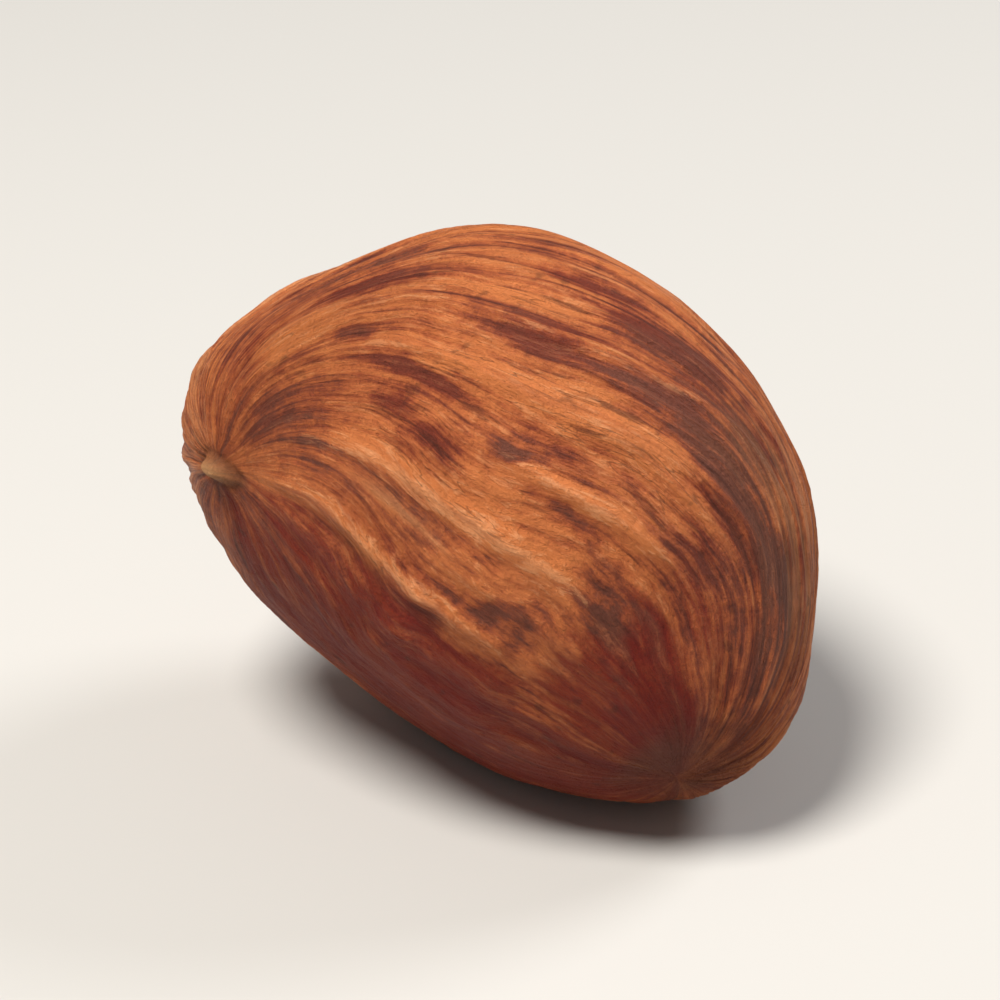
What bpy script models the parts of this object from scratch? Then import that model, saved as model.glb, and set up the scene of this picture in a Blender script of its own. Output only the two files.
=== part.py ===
"""One roasted hazelnut kernel in its skin, resting on its side with its point raised.

The kernel is a single solid. It starts as a sphere whose poles are the point and the blunt
end, is formed into an uneven oval with pressed sides, and carries ridges from pole to pole.
In its own frame the length lies along Z with the point up, and directions are given as an
azimuth about the length and a polar angle from the point, both in degrees.
"""

import math

import bmesh
import bpy
import numpy as np
from mathutils import Matrix

# Half sizes of the oval, in metres: across the thin way, across the thick way, and along.
RADII = np.array([0.00594, 0.00724, 0.00785])
MEAN_RADIUS = 0.0072

# How far both poles lean from the ends of the oval, from 0 to 1, and the azimuth they lean to.
# The back of the kernel is the round side that this leaves between them.
POLE_LEAN = 0.367
LEAN_AZIMUTH = -175.0

# The point ends in a small nib. Its spread is an angle in radians.
NIB_HEIGHT = 0.00045
NIB_SPREAD = 0.080

# Swells of the oval: (azimuth, polar angle, height, spread in radians). The first makes the
# shoulder beside the point and the second makes the heavier blunt end.
SWELLS = (
    (178.0, 24.0, 0.00075, 0.45),
    (-172.0, 148.0, 0.00135, 0.50),
)

# Sides that the shell pressed flatter: (azimuth, polar angle, depth pressed in).
PRESSED_SIDES = (
    (-44.0, 29.0, 0.00032),
    (152.0, 86.0, 0.00061),
    (60.0, 85.0, 0.00043),
    (97.0, 131.0, 0.00050),
)
PRESS_SOFTNESS = 0.00045

# The strong ridges, as (azimuth, half width, height, polar angle of the middle, half length).
# The first two edge the furrow that faces front.
STRONG_RIDGES = (
    (-142.0, 0.00034, 0.00044, 58.0, 56.0),
    (-106.0, 0.00032, 0.00042, 78.0, 46.0),
    (-85.0, 0.00024, 0.00024, 100.0, 20.0),
)

# The other ridges leave the blunt end as a few veins, and each vein forks into branches.
VEINS = 15
BRANCHES = 3
FORK_SPREAD = 8.5
RIDGE_HALF_WIDTH = 0.00030
RIDGE_HEIGHT = 0.00016
RIDGE_FADE = 0.0010
RIDGE_ROUNDNESS = 1.6
UNEVENNESS = 0.35
SEED = 11

# Away from the middle of the length the ridges sway off their azimuth, in degrees: all of them
# towards the point, and those over the top of the kernel towards the blunt end too.
POINT_SWAY = 22.0
TOP_SWAY = 30.0
TOP_AZIMUTH = -42.0
TOP_WIDTH = 43.0
SWAY_MIDDLE = 80.0
SWAY_REACH = 45.0

# How the kernel lies: its length is raised and turned, and it is rolled about its length.
RAISED = 30.0
TURNED = 15.0
ROLLED = 70.5
FLAT_DEPTH = 0.00015
CUT_MERGE = 0.00002

SEGMENTS = 176
RINGS = 34
RING_CROWDING = 0.2
SKIN_COLOUR = (0.36, 0.135, 0.048, 1.0)
SKIN_ROUGHNESS = 0.5
SHARP_ANGLE = math.radians(40.0)


def clear_scene():
    for old in list(bpy.data.objects):
        bpy.data.objects.remove(old, do_unlink=True)


def unit_vectors(azimuth, polar):
    """Unit vectors for azimuths and polar angles in radians."""
    azimuth, polar = np.broadcast_arrays(azimuth, polar)
    across = np.sin(polar)
    return np.stack([across * np.cos(azimuth), across * np.sin(azimuth), np.cos(polar)], axis=-1)


def direction(azimuth, polar):
    """Unit vector at an azimuth and a polar angle in degrees."""
    return unit_vectors(np.radians(azimuth), np.radians(polar))


LEAN = POLE_LEAN * direction(LEAN_AZIMUTH, 90.0)


def crowding(unit):
    """How many times wider the lean makes the skin at these points of the unit sphere."""
    return (1.0 - POLE_LEAN**2) / ((unit + LEAN) ** 2).sum(axis=-1)


def leaned(unit):
    """Unit points with both poles moved the same way along the sphere."""
    return crowding(unit)[:, None] * (unit + LEAN) + LEAN


def unleaned_azimuth(azimuth):
    """The azimuth, before the lean, of the points that the lean brings to this azimuth."""
    moved = unit_vectors(azimuth, math.pi / 2) - LEAN
    start = (1.0 - POLE_LEAN**2) * moved / (moved**2).sum(axis=-1, keepdims=True) - LEAN
    return np.arctan2(start[..., 1], start[..., 0])


def respaced(unit):
    """Azimuths and polar angles for the sphere's points, with its rings closer near the poles
    and its segments spread evenly round the middle of the kernel.
    """
    polar = np.arccos(np.clip(unit[:, 2], -1.0, 1.0))
    polar = polar - RING_CROWDING * np.sin(2.0 * polar)
    azimuth = unleaned_azimuth(np.arctan2(unit[:, 1], unit[:, 0]))
    return azimuth, polar


def pressed(points, normal, depth):
    """Points with the side facing along normal pressed in by about depth, with a soft edge."""
    reach = math.sqrt(((RADII * normal) ** 2).sum())
    over = (points @ normal - (reach - depth)) / PRESS_SOFTNESS
    push = PRESS_SOFTNESS * np.logaddexp(0.0, over)
    return points - push[:, None] * normal


def ridge_list():
    """Each ridge as (azimuth of its vein, how far it forks off, half width, height, middle,
    half length).
    """
    random = np.random.default_rng(SEED)
    ridges = []
    for azimuth, width, height, middle, reach in STRONG_RIDGES:
        ridges.append((math.radians(azimuth), 0.0, width, height, middle, reach))
    for vein in range(VEINS):
        place = 2 * math.pi * (vein + random.uniform(-UNEVENNESS, UNEVENNESS)) / VEINS
        azimuth = float(unleaned_azimuth(np.array(place)))
        for branch in range(BRANCHES):
            side = branch - (BRANCHES - 1) / 2 + random.uniform(-UNEVENNESS, UNEVENNESS)
            width = RIDGE_HALF_WIDTH * random.uniform(0.8, 1.3)
            height = RIDGE_HEIGHT * random.uniform(0.3, 1.0)
            fork = math.radians(FORK_SPREAD) * side
            ridges.append((azimuth, fork, width, height, 90.0, math.inf))
    return ridges


def turn_between(azimuth, centre):
    """Signed turn from centre to azimuth, in radians."""
    return (azimuth - centre + math.pi) % (2 * math.pi) - math.pi


def strand_azimuth(azimuth, polar):
    """The azimuth that a ridge through these points has at the middle of the length."""
    away = (np.degrees(polar) - SWAY_MIDDLE) / SWAY_REACH
    aside = np.degrees(turn_between(azimuth, math.radians(TOP_AZIMUTH))) / TOP_WIDTH
    over_top = TOP_SWAY * np.exp(-(aside**2)) * np.sin(polar)
    sway = np.where(away < 0.0, POINT_SWAY, over_top) * (1.0 - np.exp(-(away**2)))
    return azimuth - np.radians(sway)


def ridge_relief(azimuth, polar, around):
    """Height of the ridges above the plain skin, where around is the radius of the skin's ring."""
    strand = strand_azimuth(azimuth, polar)
    forward = np.clip(2.2 * (1.0 - polar / math.pi), 0.0, 1.0)
    forked = forward * forward * (3.0 - 2.0 * forward)
    merged = (1.0 + (BRANCHES - 1) * forked) / BRANCHES
    relief = np.zeros_like(azimuth)
    for start, fork, width, height, middle, reach in ridge_list():
        turn = turn_between(strand, start + fork * forked)
        aside = np.abs(turn * around / width)
        along = (np.degrees(polar) - middle) / reach
        relief += height * np.exp(-(aside**RIDGE_ROUNDNESS) - along**4)
    return relief * merged * (around / (around + RIDGE_FADE)) ** 2


def swell_relief(ball):
    """Height of the swells of the oval, for unit directions from its middle."""
    relief = np.zeros(len(ball))
    for azimuth, polar, height, spread in SWELLS:
        away = np.arccos(np.clip(ball @ direction(azimuth, polar), -1.0, 1.0))
        relief += height * np.exp(-((away / spread) ** 2))
    return relief


def kernel_points(azimuth, polar):
    """The kernel's surface in its own frame, in metres."""
    unit = unit_vectors(azimuth, polar)
    ball = leaned(unit)
    around = MEAN_RADIUS * np.sin(polar) * crowding(unit)
    relief = ridge_relief(azimuth, polar, around) + swell_relief(ball)
    relief += NIB_HEIGHT * np.exp(-((polar / NIB_SPREAD) ** 2))
    points = ball * RADII
    for side_azimuth, side_polar, depth in PRESSED_SIDES:
        points = pressed(points, direction(side_azimuth, side_polar), depth)
    return points + relief[:, None] * ball


def lying():
    """Rotation that lays the kernel down with its point up to the left."""
    roll = Matrix.Rotation(math.radians(ROLLED), 3, "Z")
    tip_over = Matrix.Rotation(math.radians(RAISED - 90.0), 3, "Y")
    turn = Matrix.Rotation(math.radians(-TURNED), 3, "Z")
    return turn @ tip_over @ roll


def cut_flat(mesh):
    """Cuts the small flat spot that the kernel rests on."""
    level = min(v.co.z for v in mesh.verts) + FLAT_DEPTH
    bmesh.ops.bisect_plane(
        mesh,
        geom=mesh.verts[:] + mesh.edges[:] + mesh.faces[:],
        dist=CUT_MERGE,
        plane_co=(0.0, 0.0, level),
        plane_no=(0.0, 0.0, -1.0),
        clear_outer=True,
    )
    rim = [edge for edge in mesh.edges if edge.is_boundary]
    for edge in rim:
        for vertex in edge.verts:
            vertex.co.z = level
    bmesh.ops.holes_fill(mesh, edges=rim, sides=0)


def centre_on_floor(mesh):
    """Moves the mesh so that its box stands on Z = 0 with its middle on the Z axis."""
    places = np.array([v.co for v in mesh.verts])
    low = places.min(axis=0)
    high = places.max(axis=0)
    middle = (low + high) / 2
    bmesh.ops.translate(mesh, vec=(-middle[0], -middle[1], -low[2]), verts=mesh.verts)


def skin_material():
    material = bpy.data.materials.new("roasted_skin")
    material.use_nodes = True
    shader = material.node_tree.nodes["Principled BSDF"]
    shader.inputs["Base Color"].default_value = SKIN_COLOUR
    shader.inputs["Roughness"].default_value = SKIN_ROUGHNESS
    shader.inputs["Metallic"].default_value = 0.0
    return material


def add_kernel(collection):
    mesh = bmesh.new()
    bmesh.ops.create_uvsphere(mesh, u_segments=SEGMENTS, v_segments=RINGS, radius=1.0)
    azimuth, polar = respaced(np.array([v.co for v in mesh.verts]))
    for vertex, place in zip(mesh.verts, kernel_points(azimuth, polar)):
        vertex.co = place
    bmesh.ops.rotate(mesh, cent=(0.0, 0.0, 0.0), matrix=lying(), verts=mesh.verts)
    cut_flat(mesh)
    centre_on_floor(mesh)
    bmesh.ops.recalc_face_normals(mesh, faces=mesh.faces)
    data = bpy.data.meshes.new("kernel")
    mesh.to_mesh(data)
    mesh.free()
    data.shade_smooth()
    data.set_sharp_from_angle(angle=SHARP_ANGLE)
    data.materials.append(skin_material())
    kernel = bpy.data.objects.new("kernel", data)
    collection.objects.link(kernel)
    return kernel


def main():
    clear_scene()
    collection = bpy.data.collections.new("hazelnut")
    bpy.context.scene.collection.children.link(collection)
    add_kernel(collection)


if __name__ == "__main__":
    main()
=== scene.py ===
"""A roasted hazelnut kernel in its skin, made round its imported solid, on a pale floor.

The skin repeats the solid's form on a finer mesh and adds fine ribs, wrinkles, knobs on the
ridges, dents, the bud at the point with the split round it, and the scar at the blunt end.
Directions on the kernel are an azimuth about its length and a polar angle from its point, as
in the solid's own source.
"""

import math

import bpy
import numpy as np
from mathutils import Matrix, Vector, noise


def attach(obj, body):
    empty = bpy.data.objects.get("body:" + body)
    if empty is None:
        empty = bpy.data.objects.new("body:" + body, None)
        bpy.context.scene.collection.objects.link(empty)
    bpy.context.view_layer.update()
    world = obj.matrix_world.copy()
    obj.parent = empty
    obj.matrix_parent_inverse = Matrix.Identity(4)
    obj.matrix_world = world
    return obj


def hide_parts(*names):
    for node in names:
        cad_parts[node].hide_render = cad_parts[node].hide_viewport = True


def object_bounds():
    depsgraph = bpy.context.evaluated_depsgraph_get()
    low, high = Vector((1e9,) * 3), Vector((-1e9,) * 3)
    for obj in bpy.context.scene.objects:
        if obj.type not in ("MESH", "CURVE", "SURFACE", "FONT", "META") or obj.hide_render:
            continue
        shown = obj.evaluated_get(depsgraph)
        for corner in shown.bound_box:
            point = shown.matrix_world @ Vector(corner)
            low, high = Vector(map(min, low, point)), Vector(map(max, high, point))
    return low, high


# The solid's form, in metres and degrees. POLE_LEAN is a share of the unit sphere's radius and
# NIB_SPREAD is in radians.
RADII = np.array([0.00594, 0.00724, 0.00785])
MEAN_RADIUS = 0.0072
POLE_LEAN = 0.367
LEAN_AZIMUTH = -175.0
NIB_HEIGHT = 0.00045
NIB_SPREAD = 0.080
# Swells of the oval: (azimuth, polar angle, height, spread in radians).
SWELLS = (
    (178.0, 24.0, 0.00075, 0.45),
    (-172.0, 148.0, 0.00135, 0.50),
)
# Sides pressed in by the shell: (azimuth, polar angle, depth).
PRESSED_SIDES = (
    (-44.0, 29.0, 0.00032),
    (152.0, 86.0, 0.00061),
    (60.0, 85.0, 0.00043),
    (97.0, 131.0, 0.00050),
)
PRESS_SOFTNESS = 0.00045
# Strong ridges: (azimuth, half width, height, polar angle of the middle, half length).
STRONG_RIDGES = (
    (-142.0, 0.00034, 0.00044, 58.0, 56.0),
    (-106.0, 0.00032, 0.00042, 78.0, 46.0),
    (-85.0, 0.00024, 0.00024, 100.0, 20.0),
)
# Small ridges: each vein is one ridge at the blunt end and has forked by 1 / FORK_PACE of the
# way to the point. The ranges are shares of the half width and of the height.
VEINS = 15
BRANCHES = 3
FORK_SPREAD = 8.5
FORK_PACE = 2.2
RIDGE_HALF_WIDTH = 0.00030
RIDGE_HEIGHT = 0.00016
RIDGE_WIDTHS = (0.8, 1.3)
RIDGE_HEIGHTS = (0.3, 1.0)
RIDGE_FADE = 0.0010
RIDGE_ROUNDNESS = 1.6
UNEVENNESS = 0.35
SEED = 11
RAISED = 30.0
TURNED = 15.0
ROLLED = 70.5
FLAT_DEPTH = 0.00015

# The finer mesh of the skin.
SEGMENTS = 472
RINGS = 208
RING_CROWDING = 0.2

# Fine ribs: each runs along part of the length. Sizes in metres, places and sway in radians,
# and the last two ranges are shares of the half width and of the height.
RIB_COUNT = 130
RIB_HALF_WIDTH = 0.00013
RIB_HEIGHT = 0.000075
RIB_MIDDLES = (0.4, 2.7)
RIB_REACHES = (0.4, 1.1)
RIB_SWAY = 0.06
RIB_WIDTHS = (0.7, 1.5)
RIB_HEIGHTS = (-0.5, 1.0)
RIB_SEED = 4

# How unevenly high the ridges are, and the waves of that round and along the kernel.
RIDGE_KNOBS = 0.45
KNOB_WAVES = (6.0, 6.0, 5.0)

# Dents and bumps of the skin: (waves per kernel size, height in metres).
DENTS = ((1.7, 0.00012), (4.1, 0.00004))
DENT_SHIFT = 7.0
# Wrinkles of the skin: (waves round the kernel, waves along it, height in metres). Each one
# stands WRINKLE_TOP of its height up at the crest and drops by WRINKLE_DROP from there.
WRINKLES = ((7.0, 1.0, 0.000062), (16.0, 2.4, 0.000044), (34.0, 6.0, 0.000018))
WRINKLE_TOP = 0.6
WRINKLE_DROP = 2.4
# How far the strands wander off their way: (waves per kernel size, degrees).
WANDER = ((2.5, 2.5), (7.0, 0.6))
WANDER_SHIFT = 5.0

# The bud at the point and the split in the skin round it. Spreads in radians. The bud is
# longer along the azimuth BUD_TURN, in degrees.
BUD_HEIGHT = 0.00020
BUD_SPREAD = 0.045
BUD_TURN = -150.0
BUD_STRETCH = 1.35
SPLIT_DEPTH = 0.00009
SPLIT_PLACE = 0.085
SPLIT_SPREAD = 0.022

# How ragged the edges of the bud, the split and the scar are, and the waves of that.
RAGGED = 0.30
RAGGED_WAVES = 9.0

# The scar at the blunt end, where the veins meet.
SCAR_DEPTH = 0.00012
SCAR_SPREAD = 0.27

# How many times wider than its relief the colour of the bud, the split and the scar is.
BUD_STAIN = 1.2
# The split's colour is painted shade in its groove.
SPLIT_SHADE_SPREAD = 1.3
SCAR_STAIN = 1.05

# Height of a ridge, in metres, that the colours take for a full crest.
FULL_CREST = 1.6 * RIDGE_HEIGHT

# Radius of the skin's ring, in metres, at which the fine streaks have faded by half.
END_FADE = 0.0016

# Streaks of the skin's colour: (azimuth at the middle of the length, polar angle, half width,
# half length, tone), in degrees. A tone above 0 is more orange and one below 0 is darker.
# Some rows are painted highlight and some painted shade, as marked.
STREAKS = (
    # Painted highlight along the lit crest of the first strong ridge.
    (-142.0, 56.0, 3.0, 34.0, 1.2),
    (-148.0, 44.0, 3.0, 18.0, 0.5),
    (-120.0, 56.0, 5.0, 12.0, 0.6),
    (-117.0, 64.5, 1.8, 3.5, -0.9),
    (-119.5, 73.0, 1.6, 3.5, -0.8),
    (-127.0, 88.0, 5.0, 14.0, 0.5),
    # Painted highlight along the lit crest of the second strong ridge.
    (-105.0, 76.0, 3.5, 32.0, 1.8),
    (-108.0, 100.0, 4.0, 10.0, 0.4),
    (-101.0, 108.0, 3.0, 8.0, -0.5),
    (-132.0, 107.0, 8.0, 12.0, -0.8),
    (-95.0, 42.0, 8.0, 12.0, 0.6),
    (-56.0, 36.0, 7.0, 9.0, 0.6),
    (-82.0, 130.0, 11.0, 15.0, -0.7),
    (-94.5, 66.0, 3.0, 14.0, -0.5),
    (-86.0, 51.0, 4.0, 5.0, -1.1),
    (-89.5, 64.0, 3.5, 6.0, -1.1),
    (-78.0, 72.0, 4.0, 12.0, 0.6),
    (-83.0, 80.0, 2.5, 5.0, -0.9),
    # Painted highlight along the lit crest of the third strong ridge.
    (-84.5, 99.0, 2.0, 15.0, 1.3),
    # These two are painted shade in the valley beside the third strong ridge.
    (-89.0, 92.0, 2.4, 6.0, -1.2),
    (-93.5, 103.0, 3.2, 7.0, -1.0),
    (-98.0, 116.0, 3.0, 9.0, -0.6),
    (-92.0, 130.0, 2.0, 12.0, 0.7),
    (-97.0, 134.0, 2.5, 10.0, -0.7),
    (-106.0, 138.0, 2.5, 12.0, 0.5),
    (-74.0, 104.0, 4.0, 16.0, 0.5),
    (-65.0, 86.0, 5.0, 22.0, 2.1),
    (-65.0, 53.0, 1.8, 4.0, 1.5),
    (-70.0, 60.0, 1.8, 4.0, 1.5),
    (-72.5, 54.5, 1.8, 4.0, -1.3),
    (-75.0, 62.0, 2.0, 4.0, -1.3),
    (-63.0, 45.0, 3.0, 4.0, -1.1),
    (-43.0, 53.0, 4.0, 8.0, -0.8),
    (-54.5, 75.0, 3.0, 9.0, -1.2),
    (-56.5, 89.0, 3.2, 10.0, -1.2),
    (-59.5, 104.0, 3.4, 12.0, -1.2),
    (-64.0, 121.0, 4.0, 12.0, -1.1),
    (-66.0, 145.0, 8.0, 16.0, -0.9),
    (-44.0, 76.0, 2.8, 9.0, 1.8),
    (-36.5, 84.0, 3.4, 7.0, -1.4),
    (-42.5, 94.0, 3.8, 8.0, -1.5),
    (-50.0, 106.0, 4.2, 10.0, -1.5),
    # Painted rim of light along the upper right edge.
    (-23.0, 94.0, 5.0, 26.0, 1.1),
)
# Patches of olive and of dark red skin, placed as the streaks are. The dark red is partly the
# skin's own redder colour and partly painted shade, on the side below the first strong ridge
# and on the lower belly. The dark ones have sharper edges.
OLIVE_SIDES = (
    (-48.0, 127.0, 10.0, 20.0),
    (-118.0, 62.0, 3.2, 16.0),
)
DEEP_RED_AND_SHADE_SIDES = (
    (-216.0, 100.0, 68.0, 96.0),
    (-130.0, 160.0, 43.0, 36.0),
)
DEEP_RED_AND_SHADE_EDGE = 6.0

# Away from the middle of the length the strands of the skin sway off their azimuth, in degrees.
POINT_SWAY = 22.0
TOP_SWAY = 30.0
TOP_AZIMUTH = -42.0
TOP_WIDTH = 43.0
SWAY_MIDDLE = 80.0
SWAY_REACH = 45.0


def unit_vectors(azimuth, polar):
    """Unit vectors for azimuths and polar angles in radians."""
    azimuth, polar = np.broadcast_arrays(azimuth, polar)
    across = np.sin(polar)
    return np.stack([across * np.cos(azimuth), across * np.sin(azimuth), np.cos(polar)], axis=-1)


def direction(azimuth, polar):
    """Unit vector at an azimuth and a polar angle in degrees."""
    return unit_vectors(np.radians(azimuth), np.radians(polar))


LEAN = POLE_LEAN * direction(LEAN_AZIMUTH, 90.0)


def crowding(unit):
    """How many times wider the lean makes the skin at these points of the unit sphere."""
    return (1.0 - POLE_LEAN**2) / ((unit + LEAN) ** 2).sum(axis=-1)


def leaned(unit):
    """Unit points with both poles moved the same way along the sphere."""
    return crowding(unit)[:, None] * (unit + LEAN) + LEAN


def unleaned_azimuth(azimuth):
    """The azimuth, before the lean, of the points that the lean brings to this azimuth."""
    moved = unit_vectors(azimuth, math.pi / 2) - LEAN
    start = (1.0 - POLE_LEAN**2) * moved / (moved**2).sum(axis=-1, keepdims=True) - LEAN
    return np.arctan2(start[..., 1], start[..., 0])


def turn_between(azimuth, centre):
    """Signed turn from centre to azimuth, in radians."""
    return (azimuth - centre + math.pi) % (2 * math.pi) - math.pi


def pressed(points, normal, depth):
    """Points with the side facing along normal pressed in by about depth, with a soft edge."""
    reach = math.sqrt(((RADII * normal) ** 2).sum())
    over = (points @ normal - (reach - depth)) / PRESS_SOFTNESS
    push = PRESS_SOFTNESS * np.logaddexp(0.0, over)
    return points - push[:, None] * normal


def strand_azimuth(azimuth, polar):
    """The azimuth that a strand through these points has at the middle of the length."""
    away = (np.degrees(polar) - SWAY_MIDDLE) / SWAY_REACH
    aside = np.degrees(turn_between(azimuth, math.radians(TOP_AZIMUTH))) / TOP_WIDTH
    over_top = TOP_SWAY * np.exp(-(aside**2)) * np.sin(polar)
    sway = np.where(away < 0.0, POINT_SWAY, over_top) * (1.0 - np.exp(-(away**2)))
    return azimuth - np.radians(sway)


def ridge_list():
    """Each ridge as (azimuth of its vein, how far it forks off, half width, height, middle,
    half length).
    """
    random = np.random.default_rng(SEED)
    ridges = []
    for azimuth, width, height, middle, reach in STRONG_RIDGES:
        ridges.append((math.radians(azimuth), 0.0, width, height, middle, reach))
    for vein in range(VEINS):
        place = 2 * math.pi * (vein + random.uniform(-UNEVENNESS, UNEVENNESS)) / VEINS
        azimuth = float(unleaned_azimuth(np.array(place)))
        for branch in range(BRANCHES):
            side = branch - (BRANCHES - 1) / 2 + random.uniform(-UNEVENNESS, UNEVENNESS)
            width = RIDGE_HALF_WIDTH * random.uniform(*RIDGE_WIDTHS)
            height = RIDGE_HEIGHT * random.uniform(*RIDGE_HEIGHTS)
            fork = math.radians(FORK_SPREAD) * side
            ridges.append((azimuth, fork, width, height, 90.0, math.inf))
    return ridges


def ridge_relief(strand, polar, around):
    """Height of the ridges above the plain skin, where around is the radius of the skin's ring."""
    forward = np.clip(FORK_PACE * (1.0 - polar / math.pi), 0.0, 1.0)
    forked = forward * forward * (3.0 - 2.0 * forward)
    merged = (1.0 + (BRANCHES - 1) * forked) / BRANCHES
    relief = np.zeros_like(strand)
    for start, fork, width, height, middle, reach in ridge_list():
        turn = turn_between(strand, start + fork * forked)
        aside = np.abs(turn * around / width)
        along = (np.degrees(polar) - middle) / reach
        relief += height * np.exp(-(aside**RIDGE_ROUNDNESS) - along**4)
    return relief * merged * (around / (around + RIDGE_FADE)) ** 2


def swell_relief(ball):
    """Height of the swells of the oval, for unit directions from its middle."""
    relief = np.zeros(len(ball))
    for azimuth, polar, height, spread in SWELLS:
        away = np.arccos(np.clip(ball @ direction(azimuth, polar), -1.0, 1.0))
        relief += height * np.exp(-((away / spread) ** 2))
    return relief


def solid_points(ball, polar, ridges):
    """The solid's surface in the kernel's own frame, in metres."""
    relief = ridges + swell_relief(ball) + NIB_HEIGHT * np.exp(-((polar / NIB_SPREAD) ** 2))
    points = ball * RADII
    for azimuth, side_polar, depth in PRESSED_SIDES:
        points = pressed(points, direction(azimuth, side_polar), depth)
    return points + relief[:, None] * ball


def lying():
    """Rotation that lays the kernel down with its point up to the left."""
    roll = Matrix.Rotation(math.radians(ROLLED), 3, "Z")
    tip_over = Matrix.Rotation(math.radians(RAISED - 90.0), 3, "Y")
    turn = Matrix.Rotation(math.radians(-TURNED), 3, "Z")
    return np.array(turn @ tip_over @ roll)


def rib_relief(strand, polar, around):
    """Height of the fine ribs, each of which fades in and out along the length."""
    random = np.random.default_rng(RIB_SEED)
    relief = np.zeros_like(strand)
    for _ in range(RIB_COUNT):
        centre = float(unleaned_azimuth(np.array(random.uniform(-math.pi, math.pi))))
        middle = random.uniform(*RIB_MIDDLES)
        reach = random.uniform(*RIB_REACHES)
        sway = random.uniform(-RIB_SWAY, RIB_SWAY)
        width = RIB_HALF_WIDTH * random.uniform(*RIB_WIDTHS)
        height = RIB_HEIGHT * random.uniform(*RIB_HEIGHTS)
        turn = turn_between(strand, centre + sway * np.sin(2.0 * (polar - middle)))
        along = np.exp(-(((polar - middle) / reach) ** 4))
        relief += height * along * np.exp(-((turn * around / width) ** 2))
    return relief * (around / (around + RIDGE_FADE)) ** 3


def noise_at(places):
    """Smooth noise, from about -1 to 1, at each row of places."""
    return np.array([noise.noise(Vector(place)) for place in places])


def wrinkle_relief(around, fibre):
    """Height of the long wrinkles, which have sharp crests and round furrows between."""
    relief = np.zeros_like(around)
    for waves_round, waves_along, height in WRINKLES:
        wave = noise_at(fibre * (waves_round, waves_round, waves_along))
        relief += height * (WRINKLE_TOP - WRINKLE_DROP * np.abs(wave))
    return relief * (around / (around + RIDGE_FADE)) ** 2


def bud_stretch(azimuth):
    """How many times closer to the point the bud ends in the directions of these azimuths."""
    turn = azimuth - math.radians(BUD_TURN)
    return np.hypot(np.cos(turn) / BUD_STRETCH, np.sin(turn) * BUD_STRETCH)


def lone_relief(ball, from_point, from_scar):
    """Height of the dents, the bud, the split round it and the scar."""
    relief = np.zeros_like(from_point)
    for waves, height in DENTS:
        relief += height * noise_at(ball * waves + DENT_SHIFT)
    relief += BUD_HEIGHT * np.exp(-((from_point / BUD_SPREAD) ** 4))
    relief -= SPLIT_DEPTH * np.exp(-(((from_point - SPLIT_PLACE) / SPLIT_SPREAD) ** 2))
    relief -= SCAR_DEPTH * np.exp(-((from_scar / SCAR_SPREAD) ** 4))
    return relief


def patch(strand, polar, centre, middle, width, length, edge=2.0):
    """A long patch of the skin, from 1 inside to 0 outside, placed in degrees."""
    aside = np.abs(turn_between(strand, math.radians(centre))) / math.radians(width)
    along = (np.degrees(polar) - middle) / length
    return np.exp(-(aside**edge) - along**4)


def wandering(strand, fibre):
    """Strand azimuths that wander a little to both sides on their way."""
    for waves, degrees in WANDER:
        strand = strand + math.radians(degrees) * noise_at(fibre * waves + WANDER_SHIFT)
    return strand


def streak_tone(strand, polar):
    """Tone of the streaks: above 0 for more orange skin and below 0 for darker skin."""
    tone = np.zeros_like(strand)
    for centre, middle, width, length, strength in STREAKS:
        tone += strength * patch(strand, polar, centre, middle, width, length)
    return tone


def store(mesh, name, values):
    """Keeps one value or one vector for each point of the mesh, for its material to read."""
    kind = "FLOAT" if values.ndim == 1 else "FLOAT_VECTOR"
    layer = mesh.attributes.new(name, kind, "POINT")
    key = "value" if values.ndim == 1 else "vector"
    layer.data.foreach_set(key, values.astype(np.float32).ravel())


def sphere_places():
    """Azimuth and polar angle of each point of the mesh: the point, the rings, the blunt end."""
    polar = np.repeat(np.pi * np.arange(1, RINGS) / RINGS, SEGMENTS)
    polar = np.concatenate([[0.0], polar, [np.pi]])
    round_once = 2 * np.pi * np.arange(SEGMENTS) / SEGMENTS - np.pi
    azimuth = np.concatenate([[0.0], np.tile(round_once, RINGS - 1), [0.0]])
    return azimuth, polar - RING_CROWDING * np.sin(2.0 * polar)


def sphere_faces():
    """Triangles at both poles and quads between, as point numbers, all facing out."""
    here = np.arange(SEGMENTS)
    after = (here + 1) % SEGMENTS
    last = 1 + (RINGS - 2) * SEGMENTS
    faces = [(0, 1 + a, 1 + b) for a, b in zip(here, after)]
    for ring in range(RINGS - 2):
        top = 1 + ring * SEGMENTS
        low = top + SEGMENTS
        faces += [(top + a, low + a, low + b, top + b) for a, b in zip(here, after)]
    faces += [(last + a, last + SEGMENTS, last + b) for a, b in zip(here, after)]
    return faces


def on_floor(skin, solid):
    """The skin's points moved as the solid's are: box centred, down to the flat spot."""
    low, high = solid.min(axis=0), solid.max(axis=0)
    middle = (low + high) / 2
    skin = skin - (middle[0], middle[1], low[2] + FLAT_DEPTH)
    skin[:, 2] = np.maximum(skin[:, 2], 0.0)
    return skin


def store_patches(mesh, strand, loose, polar):
    """Keeps the streaks and the patches of the sides."""
    # The dark red sides, partly painted shade.
    deep_red_and_shade = [patch(loose, polar, *side, edge=DEEP_RED_AND_SHADE_EDGE) for side in DEEP_RED_AND_SHADE_SIDES]
    store(mesh, "streak", streak_tone(loose, polar))
    store(mesh, "olive", sum(patch(strand, polar, *side) for side in OLIVE_SIDES))
    store(mesh, "deep_red_and_shade", np.maximum(*deep_red_and_shade))


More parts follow.
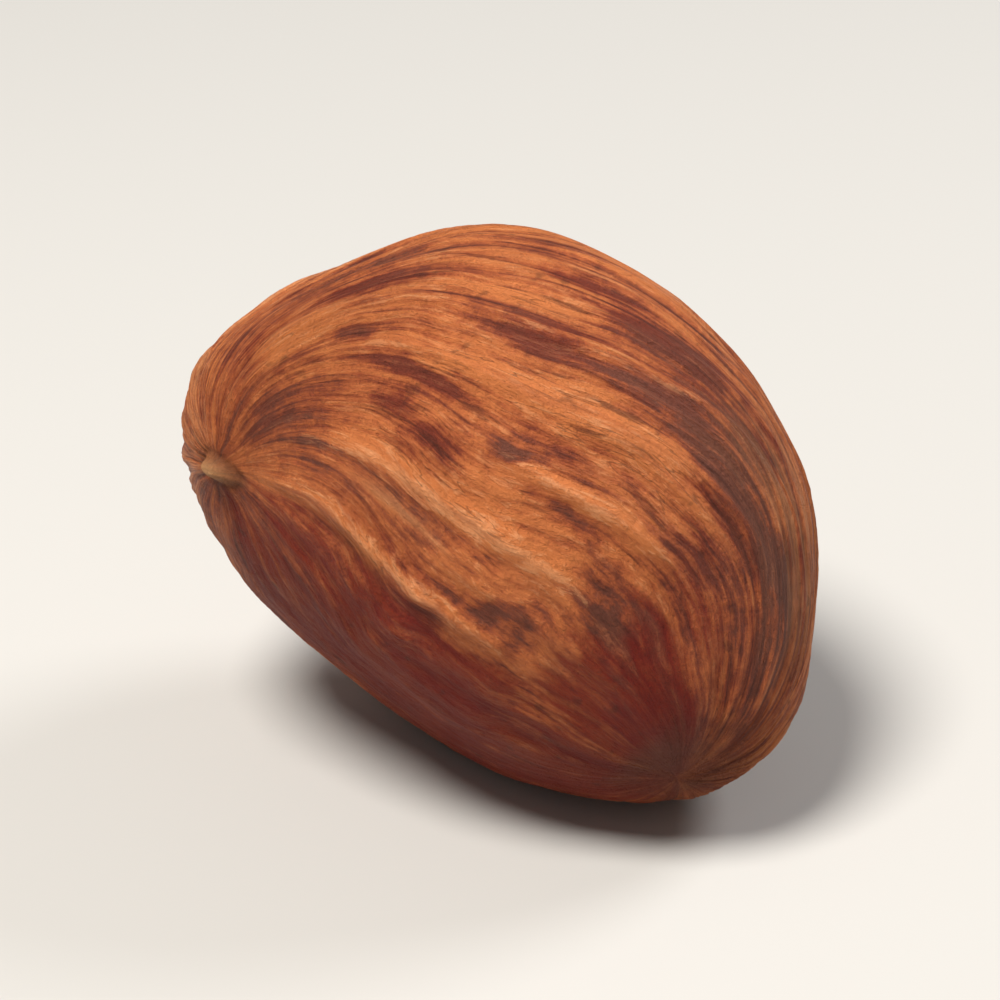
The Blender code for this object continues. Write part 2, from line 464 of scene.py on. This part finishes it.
def store_ends(mesh, from_point, from_scar):
    """Keeps where the bud, the painted shade in the split and the scar are coloured."""
    bud = from_point / (BUD_STAIN * BUD_SPREAD)
    split = (from_point - SPLIT_PLACE) / (SPLIT_SHADE_SPREAD * SPLIT_SPREAD)
    scar = from_scar / (SCAR_STAIN * SCAR_SPREAD)
    store(mesh, "bud", np.exp(-(bud**2)))
    store(mesh, "split", np.exp(-(split**2)))
    store(mesh, "scar", np.exp(-(scar**6)))


def make_skin():
    """The kernel's skin as one closed mesh object."""
    even, polar = sphere_places()
    azimuth = unleaned_azimuth(even)
    unit = unit_vectors(azimuth, polar)
    ball = leaned(unit)
    around = MEAN_RADIUS * np.sin(polar) * crowding(unit)
    strand = strand_azimuth(azimuth, polar)
    plain_fibre = np.stack([np.cos(even), np.sin(even), polar], axis=-1)
    loose = wandering(strand, plain_fibre)
    even_strand = even + loose - azimuth
    fibre = np.stack([np.cos(even_strand), np.sin(even_strand), polar], axis=-1)

    ridges = ridge_relief(strand, polar, around)
    solid = solid_points(ball, polar, ridges) @ lying().T
    knobs = RIDGE_KNOBS * ridges * noise_at(fibre * KNOB_WAVES)
    wrinkles = rib_relief(loose, polar, around) + wrinkle_relief(around, fibre) + knobs
    ragged = RAGGED * noise_at(ball * RAGGED_WAVES)
    from_point = polar * (1.0 + ragged) * bud_stretch(azimuth)
    from_scar = (math.pi - polar) * (1.0 + ragged)
    relief = wrinkles + lone_relief(ball, from_point, from_scar)
    skin = relief[:, None] * ball @ lying().T + solid
    mesh = bpy.data.meshes.new("kernel_skin")
    mesh.from_pydata(on_floor(skin, solid), [], sphere_faces())
    mesh.shade_smooth()

    store(mesh, "fibre", fibre)
    store(mesh, "crest", ridges / FULL_CREST)
    # Wrinkle heights, which the colour turns into painted shade and highlight.
    store(mesh, "wrinkle", wrinkles / RIB_HEIGHT)
    store(mesh, "middle", around / (around + END_FADE))
    store_patches(mesh, strand, loose, polar)
    store_ends(mesh, from_point, from_scar)
    skin_object = bpy.data.objects.new("kernel_skin", mesh)
    bpy.context.scene.collection.objects.link(skin_object)
    return skin_object


# The materials, from small helpers that each add one node and join it up.


class Nodes:
    """Adds nodes to one material and links them."""

    def __init__(self, name):
        self.material = bpy.data.materials.new(name)
        self.material.use_nodes = True
        self.tree = self.material.node_tree
        self.shader = self.tree.nodes["Principled BSDF"]

    def join(self, value, socket):
        if isinstance(value, bpy.types.NodeSocket):
            self.tree.links.new(value, socket)
        else:
            socket.default_value = value

    def attribute(self, name, vector=False):
        node = self.tree.nodes.new("ShaderNodeAttribute")
        node.attribute_name = name
        return node.outputs["Vector" if vector else "Fac"]

    def scaled(self, vector, scale):
        node = self.tree.nodes.new("ShaderNodeVectorMath")
        node.operation = "MULTIPLY"
        self.join(vector, node.inputs[0])
        node.inputs[1].default_value = scale
        return node.outputs[0]

    def noise(self, vector, scale, detail, rough, warp=0.0):
        node = self.tree.nodes.new("ShaderNodeTexNoise")
        self.join(vector, node.inputs["Vector"])
        node.inputs["Scale"].default_value = scale
        node.inputs["Detail"].default_value = detail
        node.inputs["Roughness"].default_value = rough
        node.inputs["Distortion"].default_value = warp
        return node.outputs["Fac"]

    def math(self, operation, first, second=0.0):
        node = self.tree.nodes.new("ShaderNodeMath")
        node.operation = operation
        self.join(first, node.inputs[0])
        self.join(second, node.inputs[1])
        return node.outputs[0]

    def ramp(self, value, low, high, to_low=0.0, to_high=1.0):
        node = self.tree.nodes.new("ShaderNodeMapRange")
        node.interpolation_type = "SMOOTHSTEP"
        self.join(value, node.inputs["Value"])
        node.inputs["From Min"].default_value = low
        node.inputs["From Max"].default_value = high
        node.inputs["To Min"].default_value = to_low
        node.inputs["To Max"].default_value = to_high
        return node.outputs["Result"]

    def mix(self, factor, first, second):
        """Two colours mixed. The sockets go by number, because the node has several of a name."""
        node = self.tree.nodes.new("ShaderNodeMix")
        node.data_type = "RGBA"
        self.join(factor, node.inputs[0])
        self.join(first, node.inputs[6])
        self.join(second, node.inputs[7])
        return node.outputs[2]

    def lay_over(self, colour, mask, strength, over):
        """The colour with another one laid over it where the mask says so."""
        return self.mix(self.math("MULTIPLY", mask, strength), colour, over)

    def bump(self, height, distance, normal=None):
        node = self.tree.nodes.new("ShaderNodeBump")
        node.inputs["Distance"].default_value = distance
        self.join(height, node.inputs["Height"])
        if normal is not None:
            self.join(normal, node.inputs["Normal"])
        return node.outputs["Normal"]


# Colours of the skin and of its marks, and of the painted shade and highlights laid over it.
ORANGE = (0.735, 0.225, 0.068, 1.0)
RED = (0.390, 0.076, 0.028, 1.0)
DUSKY = (0.180, 0.058, 0.036, 1.0)
THREAD = (0.420, 0.140, 0.066, 1.0)
MAROON = (0.205, 0.034, 0.018, 1.0)
# Pale orange of the flakes, also used for the painted highlight on the ridges' crests.
PALE_FLAKE_AND_HIGHLIGHT = (0.930, 0.400, 0.175, 1.0)
OLIVE = (0.500, 0.238, 0.112, 1.0)
# Dark red of the sides: partly the skin's own colour and partly painted shade.
DEEP_RED_AND_SHADE = (0.200, 0.012, 0.007, 1.0)
# Dark lines of the fibres, veins and flecks, also used for the painted shade in the split.
DARK_LINE_AND_SPLIT_SHADE = (0.070, 0.020, 0.013, 1.0)
# The bud's tan is a pale bud colour darkened partly with painted shade.
BUD_TAN_AND_SHADE = (0.800, 0.420, 0.190, 1.0)
SCAR_BROWN = (0.170, 0.066, 0.038, 1.0)
SHEEN_TINT = (1.0, 0.86, 0.70, 1.0)

SKIN_LAYERS = ("crest", "wrinkle", "streak", "olive", "deep_red_and_shade", "bud", "split", "scar", "middle")

# Noises drawn out along the fibres: (waves round, waves round, waves along the kernel), detail,
# roughness, warp.
FIBRE_NOISES = {
    "hue": ((3.0, 3.0, 1.3), 2.0, 0.50, 0.0),
    "broad": ((4.5, 4.5, 1.1), 2.0, 0.50, 0.4),
    "dashes": ((12.0, 12.0, 1.9), 3.0, 0.60, 0.3),
    "thin": ((36.0, 36.0, 4.0), 3.0, 0.60, 0.2),
    "hair": ((95.0, 95.0, 20.0), 5.0, 0.70, 0.0),
    "flakes": ((40.0, 40.0, 8.0), 5.0, 0.72, 0.4),
}

# Noises without a direction: waves per metre, detail, roughness.
PLAIN_NOISES = {
    "mottle": (420.0, 4.0, 0.50),
    "grain": (2600.0, 6.0, 0.72),
    "flecks": (1900.0, 1.0, 0.50),
}

# What moves the tone: (value, where its ramp starts and ends, tone at the start and at the end).
# The second list fades towards both ends of the kernel.
STREAK_SHARE = 0.44
TONE_STEPS = (
    # The crest step paints a highlight along the ridges' crests.
    ("crest", 0.00, 1.00, 0.00, 0.25),
    ("broad", 0.30, 0.70, 0.16, 0.56),
    # The wrinkle step is painted shade in the wrinkles' furrows and painted highlight on their
    # crests.
    ("wrinkle", -1.20, 1.20, -0.22, 0.22),
    ("grain", 0.30, 0.70, -0.16, 0.16),
    ("mottle", 0.30, 0.70, -0.17, 0.17),
)
FADING_TONE_STEPS = (
    ("dashes", 0.32, 0.68, -0.27, 0.27),
    ("thin", 0.32, 0.68, -0.26, 0.26),
)

# How strongly each stain, painted shade and painted highlight is laid over the skin, from 0 to 1.
THREAD_STRENGTH = 0.75
FLAKE_STRENGTH = 0.45
# The next two lay the painted highlight along the crests.
CREST_HIGHLIGHT_STRENGTH = 0.45
CREST_TOP_HIGHLIGHT_STRENGTH = 0.65
FIBRE_STRENGTH = 0.60
VEIN_STRENGTH = 0.45
OLIVE_STRENGTH = 0.60
DEEP_RED_AND_SHADE_STRENGTH = 0.86
FLECK_STRENGTH = 0.40
# Painted shade in the split round the bud.
SPLIT_SHADE_STRENGTH = 0.50
SCAR_STRENGTH = 0.60

# The gloss of the skin: its roughness between and on the crests, and its faint sheen.
ROUGH_FURROW = 0.60
ROUGH_CREST = 0.42
SPECULAR = 0.18
SHEEN = 0.025
SHEEN_ROUGHNESS = 0.35

# The fine relief of the skin, in metres, and the share of the hair in it.
FLAKE_BUMP = 0.00015
GRAIN_BUMP = 0.00012
HAIR_SHARE = 0.8


def skin_values(made):
    """The layers of the mesh and the noises that the skin is worked out from, by name."""
    values = {name: made.attribute(name) for name in SKIN_LAYERS}
    fibre = made.attribute("fibre", vector=True)
    for name, (waves, detail, rough, warp) in FIBRE_NOISES.items():
        values[name] = made.noise(made.scaled(fibre, waves), 1.0, detail, rough, warp)
    place = made.tree.nodes.new("ShaderNodeTexCoord").outputs["Object"]
    for name, (waves, detail, rough) in PLAIN_NOISES.items():
        values[name] = made.noise(place, waves, detail, rough)
    return values


def skin_tone(made, values):
    """The tone of the skin, from 0 for dark skin to 1 and more for orange skin."""
    tone = made.math("MULTIPLY", values["streak"], STREAK_SHARE)
    for name, low, high, to_low, to_high in TONE_STEPS:
        tone = made.math("ADD", tone, made.ramp(values[name], low, high, to_low, to_high))
    for name, low, high, to_low, to_high in FADING_TONE_STEPS:
        fine = made.ramp(values[name], low, high, to_low, to_high)
        tone = made.math("ADD", tone, made.math("MULTIPLY", fine, values["middle"]))
    return made.math("MAXIMUM", tone, 0.0)


def toned_colour(made, values, tone):
    """Dusky and maroon skin with paler threads, through red, to orange."""
    dark = made.mix(made.ramp(values["hue"], 0.36, 0.62), DUSKY, MAROON)
    threads = made.ramp(values["thin"], 0.46, 0.66)
    threads = made.math("MULTIPLY", threads, made.ramp(values["hair"], 0.40, 0.62))
    dark = made.lay_over(dark, threads, THREAD_STRENGTH, THREAD)
    colour = made.mix(made.ramp(tone, -0.1, 0.6), dark, RED)
    return made.mix(made.ramp(tone, 0.10, 1.00), colour, ORANGE)


def crest_highlight_colour(made, values, tone, colour):
    """Pale flakes on the orange skin, and a painted highlight along the crests of the ridges."""
    pale = made.ramp(values["flakes"], 0.53, 0.61)
    pale = made.math("MULTIPLY", pale, made.ramp(tone, 0.3, 0.9))
    colour = made.lay_over(colour, pale, FLAKE_STRENGTH, PALE_FLAKE_AND_HIGHLIGHT)
    crest_highlight = made.ramp(values["flakes"], 0.35, 0.65, -0.35, 0.35)
    crest_highlight = made.math("ADD", values["crest"], crest_highlight)
    colour = made.lay_over(colour, made.ramp(crest_highlight, 0.6, 1.0), CREST_HIGHLIGHT_STRENGTH, PALE_FLAKE_AND_HIGHLIGHT)
    return made.lay_over(colour, made.ramp(crest_highlight, 1.0, 1.6), CREST_TOP_HIGHLIGHT_STRENGTH, PALE_FLAKE_AND_HIGHLIGHT)


def lined_colour(made, values, colour):
    """Dark fibres between the crests, and fine dark veins at the edges of the dashes."""
    fibres = made.ramp(values["thin"], 0.44, 0.30)
    fibres = made.math("MULTIPLY", fibres, made.ramp(values["crest"], 0.6, 0.1))
    colour = made.lay_over(colour, fibres, FIBRE_STRENGTH, DARK_LINE_AND_SPLIT_SHADE)
    off_middle = made.math("ABSOLUTE", made.math("SUBTRACT", values["dashes"], 0.5))
    veins = made.ramp(off_middle, 0.012, 0.002)
    veins = made.math("MULTIPLY", veins, made.ramp(values["hue"], 0.4, 0.6))
    return made.lay_over(colour, veins, VEIN_STRENGTH, DARK_LINE_AND_SPLIT_SHADE)


def sided_colour(made, values, colour):
    """The olive patches and the dark red sides, broken up by the dashes. The dark red is partly
    the skin's own colour and partly painted shade.
    """
    olive = made.math("MULTIPLY", values["olive"], made.ramp(values["dashes"], 0.35, 0.60))
    colour = made.lay_over(colour, olive, OLIVE_STRENGTH, OLIVE)
    deep_red_and_shade = made.ramp(values["dashes"], 0.3, 0.7, -0.45, 0.45)
    deep_red_and_shade = made.math("ADD", values["deep_red_and_shade"], deep_red_and_shade)
    return made.lay_over(colour, made.ramp(deep_red_and_shade, 0.1, 1.0), DEEP_RED_AND_SHADE_STRENGTH, DEEP_RED_AND_SHADE)


def marked_colour(made, values, colour):
    """Dark flecks, painted shade in the split round the bud, the scar and the bud, whose tan is
    partly painted shade.
    """
    flecks = made.ramp(values["flecks"], 0.66, 0.74)
    flecks = made.math("MULTIPLY", flecks, made.ramp(values["crest"], 0.5, 0.1))
    colour = made.lay_over(colour, flecks, FLECK_STRENGTH, DARK_LINE_AND_SPLIT_SHADE)
    # Painted shade in the split's groove round the bud.
    colour = made.lay_over(colour, values["split"], SPLIT_SHADE_STRENGTH, DARK_LINE_AND_SPLIT_SHADE)
    scar_colour = made.mix(made.ramp(values["mottle"], 0.35, 0.65), SCAR_BROWN, MAROON)
    colour = made.lay_over(colour, values["scar"], SCAR_STRENGTH, scar_colour)
    return made.mix(values["bud"], colour, BUD_TAN_AND_SHADE)


def set_gloss(made, values):
    """The low satin gloss of the skin, a little higher on the crests."""
    inputs = made.shader.inputs
    gloss = made.math("ADD", values["thin"], values["crest"])
    made.join(made.ramp(gloss, 0.3, 1.5, ROUGH_FURROW, ROUGH_CREST), inputs["Roughness"])
    inputs["Specular IOR Level"].default_value = SPECULAR
    inputs["Sheen Weight"].default_value = SHEEN
    inputs["Sheen Roughness"].default_value = SHEEN_ROUGHNESS
    inputs["Sheen Tint"].default_value = SHEEN_TINT


def set_fine_relief(made, values):
    """The flakes, the hair and the grain of the skin, which are finer than its mesh."""
    hair = made.math("MULTIPLY", values["hair"], HAIR_SHARE)
    normal = made.bump(made.math("ADD", values["flakes"], hair), FLAKE_BUMP)
    normal = made.bump(values["grain"], GRAIN_BUMP, normal)
    made.join(normal, made.shader.inputs["Normal"])


def skin_material():
    made = Nodes("roasted_skin")
    values = skin_values(made)
    tone = skin_tone(made, values)
    colour = toned_colour(made, values, tone)
    colour = crest_highlight_colour(made, values, tone, colour)
    colour = lined_colour(made, values, colour)
    colour = sided_colour(made, values, colour)
    colour = marked_colour(made, values, colour)
    made.join(colour, made.shader.inputs["Base Color"])
    set_gloss(made, values)
    set_fine_relief(made, values)
    return made.material


FLOOR_SIZE = 1.2
FLOOR_DROP = 0.00001
FLOOR_COLOUR = (0.60, 0.59, 0.57, 1.0)
FLOOR_ROUGHNESS = 0.85


def floor_material():
    made = Nodes("pale_floor")
    made.shader.inputs["Base Color"].default_value = FLOOR_COLOUR
    made.shader.inputs["Roughness"].default_value = FLOOR_ROUGHNESS
    return made.material


def make_floor():
    bpy.ops.mesh.primitive_plane_add(size=FLOOR_SIZE, location=(0.0, 0.0, -FLOOR_DROP))
    floor = bpy.context.object
    floor.name = "floor"
    floor.data.materials.append(floor_material())


def aimed(thing, place, target):
    """Puts a camera or a light at a place, looking at a target."""
    thing.location = place
    thing.rotation_mode = "QUATERNION"
    thing.rotation_quaternion = (Vector(target) - Vector(place)).to_track_quat("-Z", "Y")
    bpy.context.scene.collection.objects.link(thing)


LIGHT_TARGET = (0.0, 0.0, 0.006)
LIGHT_SIZE = 0.07
WORLD_COLOUR = (1.0, 0.98, 0.95, 1.0)
WORLD_STRENGTH = 0.16


def add_light(name, place, power, colour):
    light = bpy.data.lights.new(name, "AREA")
    light.shape = "DISK"
    light.size = LIGHT_SIZE
    light.energy = power
    light.color = colour
    aimed(bpy.data.objects.new(name, light), place, LIGHT_TARGET)


def add_world():
    world = bpy.data.worlds.new("studio")
    bpy.context.scene.world = world
    world.use_nodes = True
    background = world.node_tree.nodes["Background"]
    background.inputs["Color"].default_value = WORLD_COLOUR
    background.inputs["Strength"].default_value = WORLD_STRENGTH


CAMERA_ELEVATION = 30.0
CAMERA_DISTANCE = 0.104
CAMERA_LENS = 150.0


def add_camera(low, high):
    camera = bpy.data.objects.new("camera", bpy.data.cameras.new("camera"))
    camera.data.lens = CAMERA_LENS
    camera.data.clip_start = 0.005
    camera.data.clip_end = 5.0
    middle = (Vector(low) + Vector(high)) / 2
    raised = math.radians(CAMERA_ELEVATION)
    back = Vector((0.0, -math.cos(raised), math.sin(raised)))
    aimed(camera, middle + CAMERA_DISTANCE * back, middle)
    bpy.context.scene.camera = camera


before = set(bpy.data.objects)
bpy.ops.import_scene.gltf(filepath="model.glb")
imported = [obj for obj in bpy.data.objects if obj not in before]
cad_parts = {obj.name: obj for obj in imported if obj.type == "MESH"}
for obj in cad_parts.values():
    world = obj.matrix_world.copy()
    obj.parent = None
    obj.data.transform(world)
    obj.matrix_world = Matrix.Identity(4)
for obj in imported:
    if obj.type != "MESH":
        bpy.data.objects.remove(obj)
cad_box = [list(corner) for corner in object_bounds()]

skin = make_skin()
skin.data.materials.append(skin_material())
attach(skin, "root")
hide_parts("kernel")

make_floor()
add_world()
add_light("key", place=(-0.055, -0.055, 0.18), power=0.48, colour=(1.0, 0.96, 0.90))
add_light("rim", place=(0.11, 0.06, 0.12), power=0.13, colour=(1.0, 1.0, 1.0))
add_camera(*cad_box)
bpy.context.scene.view_settings.view_transform = "Standard"
